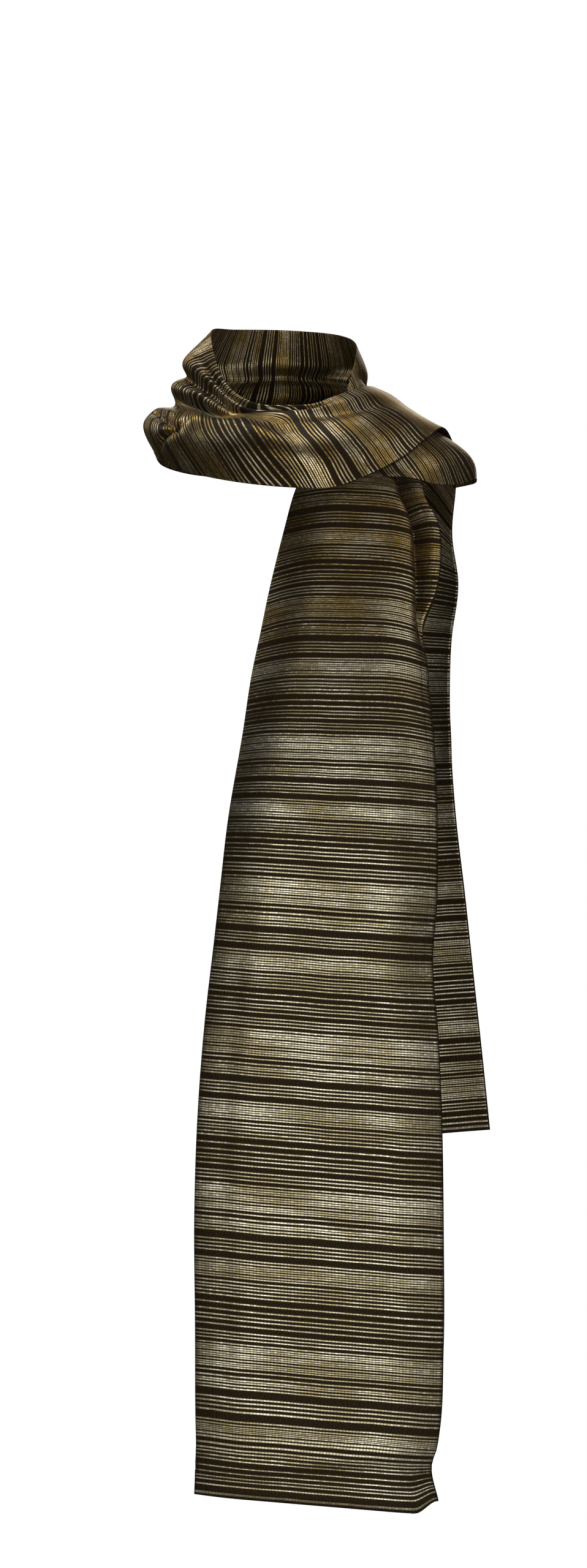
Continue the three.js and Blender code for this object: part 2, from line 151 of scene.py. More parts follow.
# The layer under the drape. gap: air below the top layer's free edge. crest: the line where it
# bends down. rim: its lower edge. weave: its place in the stripe pattern, at its top and rim.
UNDER = ("turn", "gap", "crest", "rim", "weave")
UNDERLAY = (
    (293, 1.6, (111.5, -33), (112, -41), (11.8, 11.75)),
    (302, 1.6, (116, -36), (121, -43), (12.02, 11.95)),
    (312, 2, (122, -37), (127.5, -43), (12.24, 12.15)),
    (324, 2.4, (129, -34), (131.5, -47), (12.52, 12.36)),
    (338, 2, (134, -31), (136, -45), (12.82, 12.6)),
    (350, 1.8, (138.5, -28.5), (139.5, -39), (12.95, 12.75)),
    (362, 1.8, (137, -30.5), (138.5, -40), (13.1, 12.95)),
    (378, 1.8, (126, -32), (131, -41), (13.35, 13.25)),
)
TUCKED_SHARES = (0.5, 0.72, 0.92)  # shares across the drape under which the layer lies tucked
TUCKED_GAP = 1.6  # air above it there, but for the last, which has the row's gap
DRAPE_DEPTH = 1.8  # below the middle of the doubled drape, from where the gaps are counted
UNDER_FROM = 0.35  # share of the way from the fold to the selvedge at which the layer starts
UNDER_COLUMNS = 60
UNDER_MESH_ROWS = 90
FINE_COLUMNS = 200  # cells across the piece of drape that the tucked points are taken from
FINE_STEP = 0.01  # rows between its sections

# Folds that run along the band. Each runs through places, given as a row counted from the front hem
# and a share across, 0 at the inner edge. fade: rows over which its ends die out. Then the valley's
# width and depth.
FOLD = ("name", "fade", "width", "depth", "path")
FOLDS = (
    ("side groove", 1.8, 5.5, 15, (
        (11, 1.02), (12.3, 0.965), (13, 0.92), (13.9, 0.89),
        (14.9, 0.875), (15.9, 0.88), (17, 0.84), (19, 0.74),
    )),
    ("left crease", 2, 7, 0.9, ((1.5, 0.13), (5, 0.11), (8.5, 0.13))),
    ("collar roll", 1.6, 5.5, 9, ((19.5, 0.38), (29.5, 0.24))),
    ("shoulder roll", 1.6, 5.5, 9, ((19.5, 0.62), (29, 0.42))),
    ("neckline roll", 1.6, 3.5, 4, ((25, 0.12), (32, 0.09))),
    ("drape dent", 2, 9, 4, ((29.5, 0.3), (34.5, 0.42))),
    ("inner back fold", 3, 7, 9, ((35.5, 0.3), (45, 0.27))),
    ("outer back fold", 3, 7, 10, ((36, 0.66), (44, 0.62))),
)

GROOVE_DRAG = 0.07  # how far the side groove drags the stripes down, in repeats
GROOVE_REACH = 0.16  # width over which it does, as a share of the band's

# Short creases laid on the band. depth is below the surface, less than nothing for a ridge.
# sharp: 0 for a soft trough, 1 for a pinched line. path: as for the folds.
CREASE = ("name", "width", "depth", "sharp", "path")
CREASES = (
    ("pinch", 4.5, 7.5, 0.8, ((25.1, 0.625), (25.9, 0.64), (26.5, 0.67), (27.07, 0.715))),
    ("pinch lip", 4, 5, 0.6, ((27.05, 0.725), (26.75, 0.765), (26.5, 0.81), (26.38, 0.86))),
    ("roll end", 3.2, 4, 0.7, ((27.07, 0.71), (27.12, 0.66), (27.15, 0.61), (27.15, 0.53))),
    ("body edge", 5, -2.5, 0, ((27.5, 0.72), (27.5, 0.66), (27.45, 0.6), (27.4, 0.54))),
    ("drape brow", 10, -5, 0, ((26.9, 0.68), (27.9, 0.6), (28.7, 0.58), (29.5, 0.66), (30.1, 0.8))),
    ("sparkle ridge", 4, -2, 0.5, ((26.1, 0.385), (26.6, 0.32), (26.9, 0.27), (27.6, 0.24))),
    ("hem break", 7, -3, 0.4, ((0.75, 0.02), (0.8, 0.3), (1.2, 0.65), (1.7, 1))),
    ("back knee", 9, 3, 0.2, ((39.2, 0.1), (39.8, 0.3), (40.1, 0.5))),
    ("back slant", 10, -3, 0, ((41.2, 0.95), (41.8, 0.7), (42.6, 0.45))),
    ("nape dip", 8, 3.5, 0.2, ((22.1, 0.28), (22.8, 0.4), (23.4, 0.5))),
    ("nape slant", 7, 3, 0.3, ((20.7, 0.88), (21.3, 0.76), (22.0, 0.7))),
    ("side slant", 6, 3, 0.3, ((18.7, 0.15), (19.2, 0.3), (19.8, 0.42))),
    ("rise dip", 7, 3, 0.3, ((36.2, 0.3), (37.3, 0.45), (38.2, 0.5))),
)
CREASE_REACH = 1.5  # rows beyond a crease's ends in which it may still show
CREASE_END = 0.12  # share of a half wave that is missing at each end of a crease's taper
CREASE_TAPER = 0.7  # how sharply a crease tapers
PINCH_FALL = 1.8  # how steeply a pinched line falls off

# The mesh and the two layers. Rows are counted from the front hem.
WOUND_MESH = (16.45, 38.5)  # rows between which the mesh rows have the wound step
CLOSE_LAYERS = (15, 40)  # rows between which the two layers lie closer
CLOSING_ROWS = 2.5  # rows over which they close up
HAIRPIN_COLUMNS = 3  # mesh columns round the lengthwise fold
COURSE_STEPS = 400  # steps in which a stretch of the band is measured
COURSE_SHARES = (0.1, 0.5, 0.9)  # shares across at which it is measured
LIP_CELLS = 3  # mesh cells of the hidden face along the cloth's edges

# The gaps between the gold lines of one repeat, in half millimetres, going down from the dark band
LINE_GAPS = (
    4, 4, 3, 3, 3, 4, 3, 6, 5, 4, 5, 5, 10, 9, 7, 5, 7, 9, 5, 5, 7,
    4, 3, 3, 4, 3, 3, 4, 4, 3, 3, 6, 7, 5, 3, 4, 4, 12, 5, 5, 5, 11,
)
LINES_A_RAMP = 9  # gold lines that one colour ramp holds

# The silk. Noises are given by about how many changes they make in a metre, across and along the
# panel. A range holds the values of a noise that count as 0 and as 1.
SILK = "gold-striped silk"
WANDER_NOISE = (26, 9, 0)
PATCH_NOISE = (17, 48, 0)
PATCH_RANGE = (0.36, 0.64)
PATCH_SHARE = 0.4  # share of the gold's painted lustre that comes from the patches of painted light, the rest being painted glints
GRAIN_NOISE = (700, 2300, 0)
GRAIN_RANGE = (0.4, 0.7)
LINE_FULLNESS = 0.8  # below 1, a gold line keeps its strength nearer to its sides
DIP_RANGE = (0.32, 0.5)  # where in a dash the thread begins to dip and has dipped, from its middle
DIP_DEPTH = 0.55  # share of the gold that is hidden where it dips
FULL_METAL = 0.4  # share of gold from which the surface is all metal
GROUND_ROUGHNESS = 0.5
GOLD_ROUGHNESS = 0.26  # of the smoothest dash
GOLD_ROUGHER = 0.16  # how much rougher the roughest dash is
DASH_HEIGHT = 0.6  # heights in the bump, as shares of its distance
DASH_LEAN = 1.2
GRAIN_HEIGHT = 0.15
PAINTED_RICH_BEGINS = (5.4, 6.9)  # repeats from the front hem over which the gold turns to its painted richer tone, painted light and shade of the wound folds
PAINTED_RICH_ENDS = (14.6, 13.4)  # repeats over which it turns plain again, the last first

# The soft lamps: name, place in metres, size in metres, power in watts
SOFTBOXES = (
    ("front softbox", (0, -3.2, -0.8), 1.4, 47),
    ("front left softbox", (-1.6, -2.7, -0.8), 0.9, 9),
    ("front right softbox", (1.3, -2.9, -0.8), 0.7, 7),
    ("left softbox", (-1.5, 0.7, 1.6), 0.9, 16),
    ("right softbox", (1.9, -1.2, 0.2), 0.9, 11),
    ("right top softbox", (1.5, -0.1, 1.4), 0.8, 8),
    ("top softbox", (-0.1, 0.2, 1.9), 0.7, 15),
    ("front top softbox", (1.3, -2.4, 1.3), 0.4, 8),
    ("left back softbox", (-1.9, 1.3, 0.7), 0.6, 4),
    ("back softbox", (0.2, 2.4, 0.6), 1.4, 30),
)
LIT_POINT = (0, 0, -0.2)  # the point that they face, in metres


def named_rows(names, rows):
    """The rows of a table as dictionaries."""
    return [dict(zip(names, row)) for row in rows]


FRONT_ROWS = named_rows(HANGING, FRONT_END)
WINDING_ROWS = named_rows(WOUND, WINDING)
BACK_ROWS = named_rows(HANGING, BACK_END)
UNDER_ROWS = named_rows(UNDER, UNDERLAY)
FOLD_ROWS = named_rows(FOLD, FOLDS)
CREASE_ROWS = named_rows(CREASE, CREASES)
LAST_ROW = len(FRONT_ROWS) + len(WINDING_ROWS) + len(BACK_ROWS) - 1
SIDE_GROOVE = FOLD_ROWS[0]


def length_of(vectors):
    """The vectors' lengths, kept as their last axis."""
    return np.linalg.norm(vectors, axis=-1, keepdims=True)


def smooth01(value):
    """0 below 0, 1 above 1, and a soft step between."""
    value = np.clip(value, 0, 1)
    return value**2 * (3 - 2 * value)


def rows_round(rows, places):
    """The two rows before each place, the two after it, and its share between the middle two."""
    last = len(rows) - 1
    index = np.clip(np.floor(places).astype(int), 0, last - 1)
    share = (places - index).reshape((-1,) + (1,) * (rows.ndim - 1))
    before = rows[np.maximum(index - 1, 0)]
    after = rows[np.minimum(index + 2, last)]
    return before, rows[index], rows[index + 1], after, share


def smooth_step(here, following, slope_here, slope_next, share):
    """The curve from one point to the next that has these slopes at both."""
    s2 = share**2
    s3 = share**3
    rise = 3 * s2 - 2 * s3
    return (
        here * (1 - rise)
        + slope_here * (s3 - 2 * s2 + share)
        + following * rise
        + slope_next * (s3 - s2)
    )


def slope_at(before, here, after):
    """The slope of a curve for each mm at the middle one of three points."""
    back = length_of(here - before)
    ahead = length_of(after - here)
    slope_back = (here - before) / np.maximum(back, TINY)
    slope_ahead = (after - here) / np.maximum(ahead, TINY)
    blend = (slope_back * ahead + slope_ahead * back) / np.maximum(back + ahead, TINY)
    return np.where(back < TINY, slope_ahead, np.where(ahead < TINY, slope_back, blend))


def glide(points, places):
    """Points on the smooth curves through numbered rows of points, at places along them."""
    before, here, following, after, share = rows_round(points, places)
    step = length_of(following - here)
    slope_here = slope_at(before, here, following) * step
    slope_next = slope_at(here, following, after) * step
    return smooth_step(here, following, slope_here, slope_next, share)


def glide_numbers(numbers, places):
    """Smooth values through numbered rows of values, with no overshoot to speak of."""
    before, here, following, after, share = rows_round(numbers, places)
    return smooth_step(here, following, (following - before) / 2, (after - here) / 2, share)


def normals_of(points):
    """Outward directions of a grid of points: rows run along the band, columns across it."""
    normals = np.cross(np.gradient(points, axis=1), np.gradient(points, axis=0))
    return normals / np.maximum(length_of(normals), TINY)


def hanging_points(row, across, lift=0):
    """A section of a hanging end, at shares across it."""
    left, right = row["left"], row["right"]
    x = left + (right - left) * across
    from_left = np.clip(1 - (x - left) / EDGE_ROLL, 0, 1)
    from_right = np.clip(1 - (right - x) / EDGE_ROLL, 0, 1)
    roll = row["left_roll"] * from_left**2 + row["right_roll"] * from_right**2
    sink = math.tan(math.radians(row["tilt"])) * (x - (left + right) / 2)
    kick = lift * smooth01((across - CORNER_FROM) / (1 - CORNER_FROM))
    y = row["depth"] - math.copysign(1, row["depth"]) * roll
    z = -row["drop"] - sink - row["lean"] * roll + kick
    return np.stack([x, y, z], axis=-1)


def point_round_neck(degrees, radius, height):
    """A point given by its turn round the neck."""
    angle = math.radians(degrees)
    return [radius * math.cos(angle), radius * math.sin(angle), height]


def wound_points(row, across):
    """A section of the wound middle, at shares across it."""
    points = []
    for index, place in enumerate(WOUND_PLACES):
        degrees = row["turn"] + row["splay"] * index / (len(WOUND_PLACES) - 1)
        points.append(point_round_neck(degrees, *row[place]))
    return glide(np.array(points), across * (len(WOUND_PLACES) - 1))


def band_sections(across):
    """Every row of the band, at the same shares across it."""
    hem = [hanging_points(FRONT_ROWS[0], across, CORNER_LIFT)]
    front = [hanging_points(row, across) for row in FRONT_ROWS[1:]]
    middle = [wound_points(row, across) for row in WINDING_ROWS]
    back = [hanging_points(row, across) for row in BACK_ROWS]
    return np.array(hem + front + middle + back)


def band_weave(across):
    """Every row's places in the stripe pattern, in repeats."""
    rows = [np.full_like(across, row["weave"]) for row in FRONT_ROWS]
    rows += [np.interp(across, STRIPE_SHARES, row) for row in STRIPES]
    rows += [np.full_like(across, row["weave"]) for row in BACK_ROWS]
    return np.array(rows)


def fold_course(fold, places):
    """How strong a fold is at places along the band, and how far across it runs there."""
    path = np.array(fold["path"])
    begun = smooth01((places - path[0, 0]) / fold["fade"])
    left = smooth01((path[-1, 0] - places) / fold["fade"])
    centre = np.interp(places, path[:, 0], path[:, 1])
    return (begun * left)[:, None], centre[:, None]


def groove_drag(places, across):
    """How far along the pattern the side groove shifts the stripes, over the grid."""
    strength, centre = fold_course(SIDE_GROOVE, places)
    short_of = np.maximum(centre - across, 0)
    return GROOVE_DRAG * strength * np.exp(-short_of / GROOVE_REACH)


def fold_depths(plain, places, across):
    """How far the folds sink the band, over the grid."""
    width = length_of(plain[:, -1] - plain[:, 0])
    depth = np.zeros(plain.shape[:2])
    for fold in FOLD_ROWS:
        strength, centre = fold_course(fold, places)
        offset = (across - centre) * width / fold["width"]
        depth += fold["depth"] * strength * np.exp(-(offset**2))
    return depth


def crease_depths(plain, places, across):
    """How far the short creases sink the band, over the grid."""
    depth = np.zeros(plain.shape[:2])
    for crease in CREASE_ROWS:
        rows, shares = np.array(crease["path"]).T
        near = (places > rows.min() - CREASE_REACH) & (places < rows.max() + CREASE_REACH)
        if not near.any():
            continue
        close = plain[near]
        corners = glide(band_sections(shares), rows)[range(len(rows)), range(len(rows))]
        distance = np.full(close.shape[:2], np.inf)
        run = np.zeros(close.shape[:2])
        for index, (start, end) in enumerate(zip(corners[:-1], corners[1:])):
            line = end - start
            share = np.clip((close - start) @ line / (line @ line), 0, 1)
            away = length_of(close - start - share[..., None] * line)[..., 0]
            run = np.where(away < distance, index + share, run)
            distance = np.minimum(distance, away)
        distance = distance / crease["width"]
        wave = CREASE_END + (1 - 2 * CREASE_END) * run / (len(rows) - 1)
        taper = np.sin(math.pi * wave) ** CREASE_TAPER
        soft = np.exp(-(distance**2))
        pinched = np.exp(-PINCH_FALL * distance)
        profile = soft + (pinched - soft) * crease["sharp"]
        depth[near] += crease["depth"] * taper * profile
    return depth


def band_grid(places, across):
    """The middle surface of the doubled band, with its folds and creases."""
    plain = glide(band_sections(across), places)
    depth = fold_depths(plain, places, across) + crease_depths(plain, places, across)
    return plain - normals_of(plain) * depth[..., None]


def row_places(rows_from, rows_to, step):
    """Places along the band between two rows, about one step apart."""
    fine = np.linspace(rows_from, rows_to, COURSE_STEPS)
    middle = glide(band_sections(np.array(COURSE_SHARES)), fine)
    travelled = length_of(np.diff(middle, axis=0))[..., 0].max(axis=1)
    total = np.concatenate([[0], np.cumsum(travelled)])
    count = max(2, int(round(total[-1] / step)))
    return np.interp(np.linspace(0, total[-1], count + 1), total, fine)


def doubled_layers(points, across, half_gap):
    """Both layers of the band, from the outer selvedge over the fold at its inner edge and back.

    Returns the grid of the cloth's middle surface and the place across the panel for each column,
    from 1 at the outer layer's selvedge to -1 at the inner layer's.
    """
    normals = normals_of(points)
    gaps = half_gap[:, None, None]
    inward = points[:, 0] - points[:, 1]
    inward = inward / length_of(inward)
    outer = (points + normals * gaps)[:, ::-1]
    inner = points - normals * gaps
    hairpin = []
    for step in range(1, HAIRPIN_COLUMNS + 1):
        angle = math.pi * step / (HAIRPIN_COLUMNS + 1)
        reach = normals[:, 0] * math.cos(angle) + inward * math.sin(angle)
        hairpin.append(points[:, 0] + reach * half_gap[:, None])
    grid = np.concatenate([outer, np.stack(hairpin, axis=1), inner], axis=1)
    panel = np.concatenate([across[::-1], np.zeros(HAIRPIN_COLUMNS), -across])
    return grid, panel


def cell_corners(number):
    """The four corners of every cell of a grid, from its vertices' numbers."""
    corners = [number[:-1, :-1], number[:-1, 1:], number[1:, 1:], number[1:, :-1]]
    return np.stack(corners, axis=-1)


def cloth_object(name, grid, u, v, thickness):
    """Cloth on a grid of points, with its place in the weave as a UV map, in metres.

    Its hidden face is made along the edges alone, where the cloth's thickness shows.
    """
    rows, columns = grid.shape[:2]
    normals = normals_of(grid)
    outside = (grid + normals * thickness / 2) * MM
    inside = (grid - normals * thickness / 2) * MM
    vertices = np.concatenate([outside.reshape(-1, 3), inside.reshape(-1, 3)])
    weave = np.stack([np.broadcast_to(u, (rows, columns)), v], axis=-1).reshape(-1, 2)
    weave = np.concatenate([weave, weave])

    number = np.arange(rows * columns).reshape(rows, columns)
    under = number + rows * columns
    lip = np.zeros((rows - 1, columns - 1), dtype=bool)
    lip[:LIP_CELLS] = lip[-LIP_CELLS:] = lip[:, :LIP_CELLS] = lip[:, -LIP_CELLS:] = True
    edge = np.concatenate([number[0, :-1], number[:-1, -1], number[-1, :0:-1], number[:0:-1, 0]])
    following = np.roll(edge, -1)
    sides = np.stack([edge, edge + rows * columns, following + rows * columns, following], axis=-1)
    shown = cell_corners(number).reshape(-1, 4)
    hidden = cell_corners(under)[lip][:, [0, 3, 2, 1]]
    used, faces = np.unique(np.concatenate([shown, hidden, sides]), return_inverse=True)

    mesh = bpy.data.meshes.new(name)
    mesh.from_pydata(vertices[used].tolist(), [], faces.reshape(-1, 4).tolist())
    layer = mesh.uv_layers.new(name="weave")
    corners = np.empty(len(mesh.loops), dtype=np.int32)
    mesh.loops.foreach_get("vertex_index", corners)
    layer.data.foreach_set("uv", weave[used][corners].astype(np.float32).ravel())
    mesh.shade_smooth()
    mesh.validate()
    mesh.update()
    piece = bpy.data.objects.new(name, mesh)
    bpy.context.collection.objects.link(piece)
    return piece


def band_cloth(cloth, weave):
    """The whole doubled band as one sheet, from hem to hem."""
    across = np.linspace(0, 1, cloth.columns)
    wound_from, wound_to = WOUND_MESH
    hanging_step = cloth.hanging_step / MM
    places = np.concatenate([
        row_places(0, wound_from, hanging_step)[:-1],
        row_places(wound_from, wound_to, cloth.wound_step / MM),
        row_places(wound_to, LAST_ROW, hanging_step)[1:],
    ])
    close_from, close_to = CLOSE_LAYERS
    wound = smooth01((places - close_from) / CLOSING_ROWS)
    wound = wound * smooth01((close_to - places) / CLOSING_ROWS)
    gap = cloth.hanging_gap + (cloth.wound_gap - cloth.hanging_gap) * wound
    grid, panel = doubled_layers(band_grid(places, across), across, gap / MM / 2)
    pattern = glide_numbers(band_weave(across), places) + groove_drag(places, across)
    hairpin = np.repeat(pattern[:, :1], HAIRPIN_COLUMNS, axis=1)
    along = np.concatenate([pattern[:, ::-1], hairpin, pattern], axis=1)
    u = panel * weave.width / 2
    return cloth_object("shawl_band", grid, u, along * weave.repeat, cloth.thickness / MM)


def winding_place(turn):
    """The row, counted from the front hem, that lies at a turn."""
    turns = [row["turn"] for row in WINDING_ROWS]
    return len(FRONT_ROWS) + np.interp(turn, turns, range(len(turns)))


def tucked_points(row):
    """Points of the under layer where it lies tucked under the drape, at one row's turn."""
    place = winding_place(row["turn"])
    places = np.array([place - FINE_STEP, place, place + FINE_STEP])
    surface = band_grid(places, np.linspace(0, 1, FINE_COLUMNS + 1))
    outward = normals_of(surface)
    columns = [round(share * FINE_COLUMNS) for share in TUCKED_SHARES]
    gaps = np.array([TUCKED_GAP, TUCKED_GAP, row["gap"]])
    return surface[1, columns] - outward[1, columns] * (DRAPE_DEPTH + gaps)[:, None]


def underlay_cloth(cloth, weave):
    """The sheet tucked under the drape's free edge, bent down to its own rim."""
    rows = []
    for row in UNDER_ROWS:
        shown = [point_round_neck(row["turn"], *row[key]) for key in ("crest", "rim")]
        rows.append(np.concatenate([tucked_points(row), shown]))
    share = np.linspace(0, 1, UNDER_COLUMNS)
    places = np.linspace(0, len(rows) - 1, UNDER_MESH_ROWS)
    sections = np.array([glide(row, share * (len(row) - 1)) for row in rows])
    grid = glide(sections, places)
    pattern = glide_numbers(np.array([row["weave"] for row in UNDER_ROWS]), places)
    along = pattern[:, :1] * (1 - share) + pattern[:, 1:] * share
    u = (UNDER_FROM + (1 - UNDER_FROM) * share) * weave.width / 2
    return cloth_object("drape_under_layer", grid, u, along * weave.repeat, cloth.thickness / MM)


def add_node(tree, kind, **settings):
    """A shader node with its settings."""
    node = tree.nodes.new(kind)
    for key, value in settings.items():
        setattr(node, key, value)
    return node


def feed(tree, node, **inputs):
    """Sets or links a node's inputs, given by name, or as input_0 for its first one."""
    for key, value in inputs.items():
        place = int(key.split("_")[1]) if key.startswith("input_") else key
        socket = node.inputs[place]
        if isinstance(value, bpy.types.NodeSocket):
            tree.links.new(value, socket)
        else:
            socket.default_value = value
    return node


def math_node(tree, operation, *values):
    """The result of one operation on one to three values."""
    node = add_node(tree, "ShaderNodeMath", operation=operation)
    feed(tree, node, **{f"input_{index}": value for index, value in enumerate(values)})
    return node.outputs[0]


def split(tree, vector):
    """The first two parts of a vector."""
    parts = feed(tree, add_node(tree, "ShaderNodeSeparateXYZ"), input_0=vector)
    return parts.outputs[0], parts.outputs[1]


def mixed(tree, share, first, second, kind="RGBA"):
    """Two colours, or two numbers for the kind FLOAT, mixed by a share of the second."""
    node = add_node(tree, "ShaderNodeMix", data_type=kind)
    sockets = {"RGBA": (6, 7, 2), "FLOAT": (2, 3, 0)}[kind]
    feed(tree, node, **{"input_0": share, f"input_{sockets[0]}": first, f"input_{sockets[1]}": second})
    return node.outputs[sockets[2]]


def ranged(tree, value, low, high):
    """0 where the value is at the low end or below, 1 at the high end or above."""
    node = add_node(tree, "ShaderNodeMapRange")
    feed(tree, node, input_0=value, input_1=low, input_2=high)
    return node.outputs[0]


def soft_noise(tree, place, stretch, detail=1):
    """Smooth noise, from 0 to 1. stretch: about how many changes in a metre, across and along."""
    stretched = add_node(tree, "ShaderNodeVectorMath", operation="MULTIPLY")
    feed(tree, stretched, input_0=place, input_1=stretch)
    node = add_node(tree, "ShaderNodeTexNoise", noise_dimensions="2D")
    feed(tree, node, Vector=stretched.outputs[0], Scale=1, Detail=detail, Roughness=0.5)
    return node.outputs[0]


def line_places():
    """The gold lines' places in one repeat, as shares of it going up the cloth."""
    whole = sum(LINE_GAPS)
    below = LINE_GAPS[-1] / 2
    places = []
    for gap in LINE_GAPS:
        places.append(1 - below / whole)
        below += gap
    return sorted(places)


def line_ramp(tree, share, places, first_number, side):
    """A colour ramp across some lines: red is 1 on a line, green is the line's own number.

    The lines' own numbers lie between 0 and 1, and neighbours' lie far apart.
    """
    ramp = add_node(tree, "ShaderNodeValToRGB")
    stops = ramp.color_ramp.elements
    stops.remove(stops[1])
    stops[0].position = 0
    stops[0].color = (0, 0, 0, 1)
    stops.new(places[0] - side * 1.01).color = (0, 0, 0, 1)
    for number, place in enumerate(places, first_number):
        own = (number * 0.618) % 1
        for offset, level in ((-side, 0), (0, 1), (side * 0.99, 0)):
            stops.new(place + offset).color = (level, own, 0, 1)
    stops.new(places[-1] + side).color = (0, 0, 0, 1)
    feed(tree, ramp, input_0=share)
    return ramp.outputs[0]


def gold_lines(tree, along, weave):
    """1 along the middle of a gold line, falling to 0 at its sides, and the line's own number."""
    share = math_node(tree, "FRACT", math_node(tree, "DIVIDE", along, weave.repeat))
    side = weave.line_width / weave.repeat
    places = line_places()
    total = None
    for start in range(0, len(places), LINES_A_RAMP):
        colour = line_ramp(tree, share, places[start:start + LINES_A_RAMP], start, side)
        if total is None:
            total = colour
        else:
            adding = add_node(tree, "ShaderNodeVectorMath", operation="ADD")
            total = feed(tree, adding, input_0=total, input_1=colour).outputs[0]
    return split(tree, total)


def gold_thread(tree, place, weave):
    """Where the gold thread shows, how far from its dash's middle, and each dash's own glint."""
    across, along = split(tree, place)

    # The weft wanders a little
    wander = math_node(tree, "SUBTRACT", soft_noise(tree, place, WANDER_NOISE), 0.5)
    wandered = math_node(tree, "MULTIPLY_ADD", wander, weave.wander * 2, along)
    on_line, own = gold_lines(tree, wandered, weave)

    # The thread floats over a few warps and dips under one, in step from line to line
    dash_place = math_node(tree, "DIVIDE", across, weave.dash)
    from_middle = math_node(tree, "SUBTRACT", math_node(tree, "FRACT", dash_place), 0.5)
    dip = ranged(tree, math_node(tree, "ABSOLUTE", from_middle), *DIP_RANGE)
    floating = math_node(tree, "SUBTRACT", 1, math_node(tree, "MULTIPLY", dip, DIP_DEPTH))
    shown = math_node(tree, "MULTIPLY", math_node(tree, "POWER", on_line, LINE_FULLNESS), floating)

    # Every dash of every line has its own number, and so its own glint, which paints its colour's
    # brightness and sets its roughness and lean
    repeats = math_node(tree, "FLOOR", math_node(tree, "DIVIDE", wandered, weave.repeat))
    line = math_node(tree, "MULTIPLY_ADD", repeats, 17, math_node(tree, "MULTIPLY", own, 91))
    cell = add_node(tree, "ShaderNodeCombineXYZ")
    feed(tree, cell, input_0=math_node(tree, "FLOOR", dash_place), input_1=line)
    glint = add_node(tree, "ShaderNodeTexWhiteNoise", noise_dimensions="2D")
    feed(tree, glint, Vector=cell.outputs[0])

    # No gold on the selvedges
    from_fold = math_node(tree, "ABSOLUTE", across)
    inside = math_node(tree, "LESS_THAN", from_fold, weave.width / 2 - weave.selvedge)
    shown = math_node(tree, "MULTIPLY", shown, inside)
    return shown, from_middle, glint.outputs["Value"]


def gold_colour(tree, place, glint, weave):
    """The gold's colour, with light painted in: paler in noise patches and in glinting dashes as
    painted highlights, and a painted richer, more saturated tone where wound.
    """
    # Painted light: noise patches and each dash's glint mix the gold from a painted dim colour to a
    # painted bright one, standing in for dashes that face the light or turn from it
    patch = ranged(tree, soft_noise(tree, place, PATCH_NOISE, 2), *PATCH_RANGE)
    spark = math_node(tree, "MULTIPLY", glint, 1 - PATCH_SHARE)
    painted_lustre = math_node(tree, "POWER", math_node(tree, "MULTIPLY_ADD", patch, PATCH_SHARE, spark), 2)
    plain = mixed(tree, painted_lustre, tuple(weave.painted_dim_gold), tuple(weave.painted_bright_gold))
    painted_rich = mixed(tree, painted_lustre, tuple(weave.painted_rich_dim), tuple(weave.painted_rich_bright))
    # Painted light and shade: the gold turns to its richer, more saturated copy where the band is wound
    repeats = math_node(tree, "DIVIDE", split(tree, place)[1], weave.repeat)
    begun = ranged(tree, repeats, *PAINTED_RICH_BEGINS)
    left = ranged(tree, repeats, *PAINTED_RICH_ENDS)
    return mixed(tree, math_node(tree, "MULTIPLY", begun, left), plain, painted_rich)


def gold_striped_silk(weave):
    """Black silk with gold weft lines, woven in short dashes that each catch the light through their
    own lean and through a painted glint in their colour.
    """
    material = bpy.data.materials.new(SILK)
    material.use_nodes = True
    tree = material.node_tree
    tree.nodes.clear()
    place = add_node(tree, "ShaderNodeUVMap", uv_map="weave").outputs[0]
    gold, from_middle, glint = gold_thread(tree, place, weave)
    grain = ranged(tree, soft_noise(tree, place, GRAIN_NOISE, 2), *GRAIN_RANGE)
    ground = mixed(tree, grain, tuple(weave.ground), tuple(weave.ground_grain))
    colour = mixed(tree, gold, ground, gold_colour(tree, place, glint, weave))
    gold_rough = math_node(tree, "MULTIPLY_ADD", glint, GOLD_ROUGHER, GOLD_ROUGHNESS)
    rough = mixed(tree, gold, GROUND_ROUGHNESS, gold_rough, "FLOAT")

    # Each gold dash stands proud and leans its own way, and the grain stands up between
    lean = math_node(tree, "MULTIPLY", from_middle, math_node(tree, "SUBTRACT", glint, 0.5))
    proud = math_node(tree, "MULTIPLY_ADD", lean, DASH_LEAN, DASH_HEIGHT)
    height = math_node(tree, "MULTIPLY", proud, gold)
    height = math_node(tree, "MULTIPLY_ADD", grain, GRAIN_HEIGHT, height)
    bump = add_node(tree, "ShaderNodeBump")
    feed(tree, bump, Strength=0.45, Distance=0.0003, Height=height)

    cloth = add_node(tree, "ShaderNodeBsdfPrincipled")
    metal = ranged(tree, gold, 0, FULL_METAL)
    feed(tree, cloth, Metallic=metal, Roughness=rough, Normal=bump.outputs[0])
    feed(tree, cloth, **{
        "Base Color": colour,
        "Sheen Weight": 0.02,
        "Sheen Roughness": 0.3,
        "Sheen Tint": (0.5, 0.33, 0.16, 1),
        "Specular IOR Level": 0.08,
        "Specular Tint": (0.7, 0.52, 0.28, 1),
    })
    output = add_node(tree, "ShaderNodeOutputMaterial")
    tree.links.new(cloth.outputs[0], output.inputs[0])
    return material


def wear_silk(piece, weave):
    """Gives a piece the striped silk, which is made when the first piece asks for it."""
    piece.data.materials.append(bpy.data.materials.get(SILK) or gold_striped_silk(weave))


def plain_material(name, colour, roughness):
    """A material with one colour, for the floor."""
    material = bpy.data.materials.new(name)
    material.use_nodes = True
    shader = material.node_tree.nodes["Principled BSDF"]
    shader.inputs["Base Color"].default_value = colour
    shader.inputs["Roughness"].default_value = roughness
    return material


